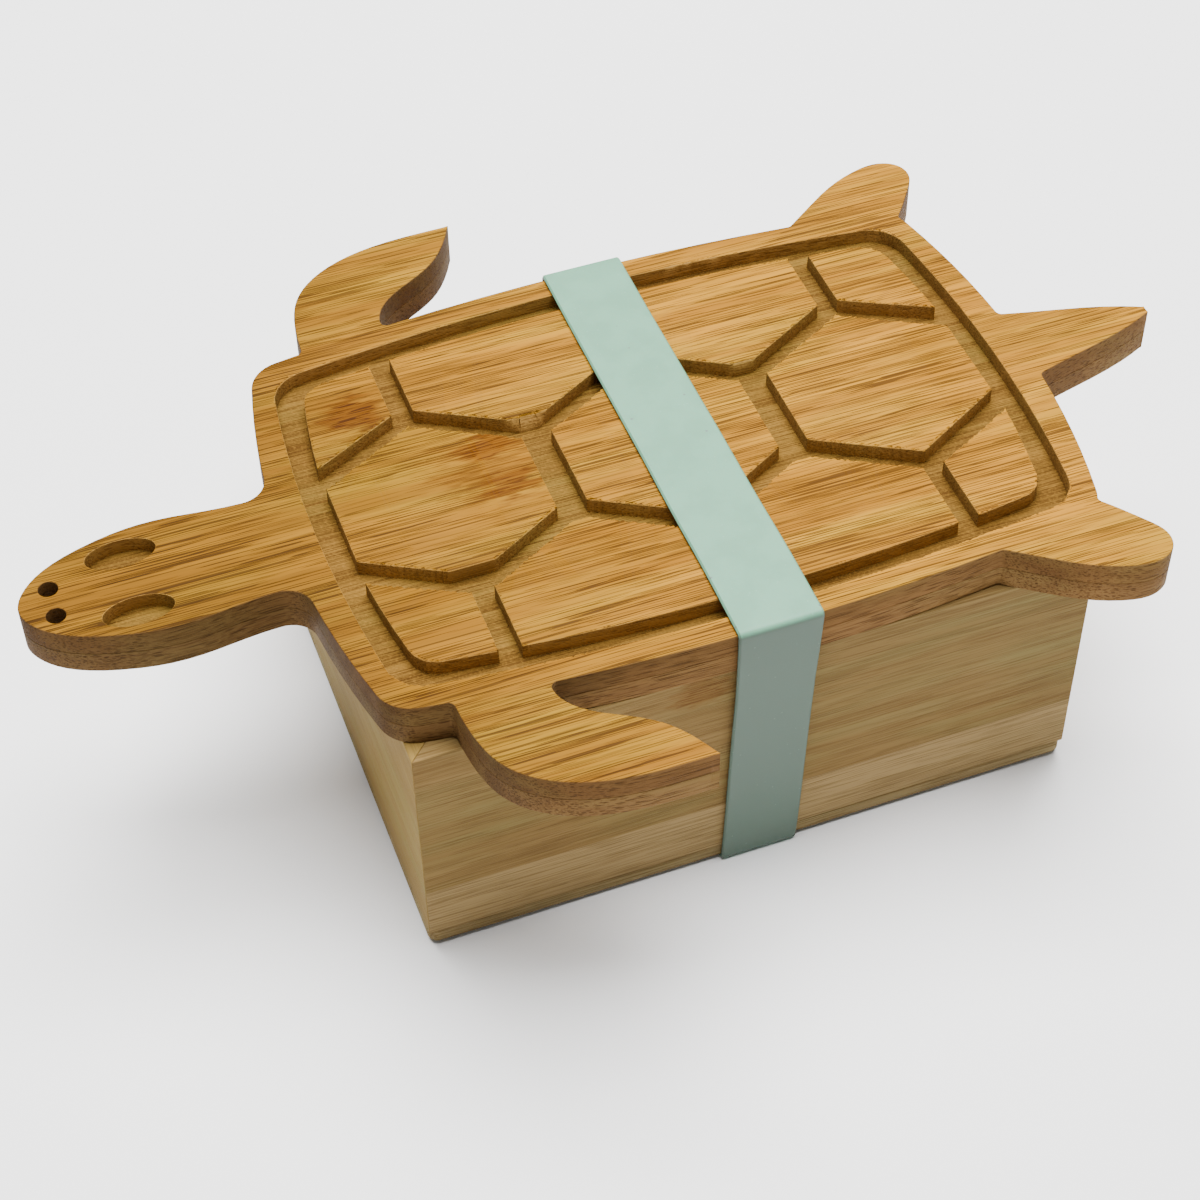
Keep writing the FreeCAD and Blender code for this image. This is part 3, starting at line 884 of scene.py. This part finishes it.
def elastic_band():
    """A flat silicone loop that wavers a little, leans and grows narrower down its sides."""
    path = spaced(band_path(), BAND_STEP)
    section = band_section()
    inside = Vector((0, LID_TOP / 2))
    mesh = bmesh.new()
    rings = []
    for number, here in enumerate(path):
        along = (path[(number + 1) % len(path)] - path[number - 1]).normalized()
        out = Vector((-along.y, along.x))
        if out.dot(here - inside) < 0:
            out = -out
        rise = min(1.0, max(0.0, (here.y - BOX_BOTTOM) / (LID_TOP - BOX_BOTTOM)))
        narrow = 1.0 - BAND_PULL * min(1.0, (1.0 - rise) / BAND_EASE)
        middle = BAND_FOOT_X + (BAND_TOP_X - BAND_FOOT_X) * rise
        middle += noise.noise(Vector((here.x * WAVER_RATE, here.y * WAVER_RATE, 1.0))) * WAVER_REACH
        ring = []
        for side, thick in section:
            spot = here + out * thick
            ring.append(mesh.verts.new((middle + side * narrow, spot.x, spot.y)))
        rings.append(ring)
    for before, ring in zip(rings, rings[1:] + rings[:1]):
        for number in range(len(section)):
            mesh.faces.new((before[number - 1], before[number], ring[number], ring[number - 1]))
    return new_piece("silicone_band", mesh, [SILICONE])


# ---------------------------------------------------------------- put together

LID_FACE = lid_face()
LID_WALL = lid_wall()
LID_GROOVE = lid_groove()
LID_SIDE_UPPER = lid_side_upper()
LID_SIDE_LOWER = lid_side_lower()
BOX_LONG = box_long_wall()
BOX_END = box_end_wall()
BOX_PANEL = box_bottom_panel()
BOARD_INSIDE = inner_board("inner_board", "X", 11.0)
BOARD_ACROSS = inner_board("divider_board", "Y", 13.0)
SILICONE = silicone()

top_board = carved_ply()
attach(top_board, "lid")
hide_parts("lid_top_ply")

lower_board = lower_ply()
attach(lower_board, "lid")
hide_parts("lid_bottom_ply")

for node, body, material, slot in (
        ("front_wall", "box", BOX_LONG, "box_bamboo"),
        ("back_wall", "box", BOX_LONG, "box_bamboo"),
        ("head_end_wall", "box", BOX_END, "box_bamboo"),
        ("tail_end_wall", "box", BOX_END, "box_bamboo"),
        ("bottom_panel", "box", BOX_PANEL, "panel_bamboo"),
        ("lid_locating_board", "lid", BOARD_INSIDE, "box_bamboo"),
        ("divider", "divider", BOARD_ACROSS, "box_bamboo")):
    board = worn_board(node, node + "_worn", material)
    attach(board, body)
    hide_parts(node)

band = elastic_band()
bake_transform(band)
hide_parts("elastic_band")


# ---------------------------------------------------------------- stage

FLOOR_SIZE = 30.0
WORLD_STRENGTH = 0.22
LAMP_SPOT = (0.15, 0.45, 2.2)
LAMP_TARGET = (0.0, 0.0, 0.05)
LAMP_SIZE = 1.9
LAMP_POWER = 245.0
CAMERA_SPOT = (-0.1820, -0.4615, 0.5722)
CAMERA_HEADING = math.radians(19.46)
CAMERA_DOWN = math.radians(47.64)
CAMERA_ROLL = math.radians(-1.10)
CAMERA_LENS = 76.26
SENSOR_WIDTH = 36.0


def add_floor():
    mesh = bmesh.new()
    bmesh.ops.create_grid(mesh, x_segments=2, y_segments=2, size=FLOOR_SIZE)
    floor = new_piece("floor", mesh, [floor_finish()])


def add_world():
    """Even white light from all round."""
    world = bpy.data.worlds.new("studio")
    world.use_nodes = True
    background = world.node_tree.nodes["Background"]
    background.inputs["Color"].default_value = (1.0, 1.0, 1.0, 1.0)
    background.inputs["Strength"].default_value = WORLD_STRENGTH
    bpy.context.scene.world = world


def add_lamp():
    """One large square soft light above and behind the box."""
    lamp = bpy.data.lights.new("overhead", "AREA")
    lamp.shape = "SQUARE"
    lamp.size = LAMP_SIZE
    lamp.energy = LAMP_POWER
    holder = bpy.data.objects.new("overhead", lamp)
    holder.location = LAMP_SPOT
    holder.rotation_euler = (Vector(LAMP_TARGET) - Vector(LAMP_SPOT)).to_track_quat("-Z", "Y").to_euler()
    bpy.context.scene.collection.objects.link(holder)


def add_camera():
    """A long lens that looks down on the box from the front left."""
    lens = bpy.data.cameras.new("camera")
    lens.lens = CAMERA_LENS
    lens.sensor_width = SENSOR_WIDTH
    ahead = Vector((math.sin(CAMERA_HEADING), math.cos(CAMERA_HEADING), 0))
    forward = ahead * math.cos(CAMERA_DOWN) - UP * math.sin(CAMERA_DOWN)
    level = Vector((math.cos(CAMERA_HEADING), -math.sin(CAMERA_HEADING), 0))
    right = Matrix.Rotation(-CAMERA_ROLL, 3, forward) @ level
    above = right.cross(forward)
    turn = Matrix((right, above, -forward)).transposed().to_4x4()
    holder = bpy.data.objects.new("camera", lens)
    holder.matrix_world = Matrix.Translation(CAMERA_SPOT) @ turn
    bpy.context.scene.collection.objects.link(holder)
    bpy.context.scene.camera = holder


add_floor()
add_world()
add_lamp()
add_camera()
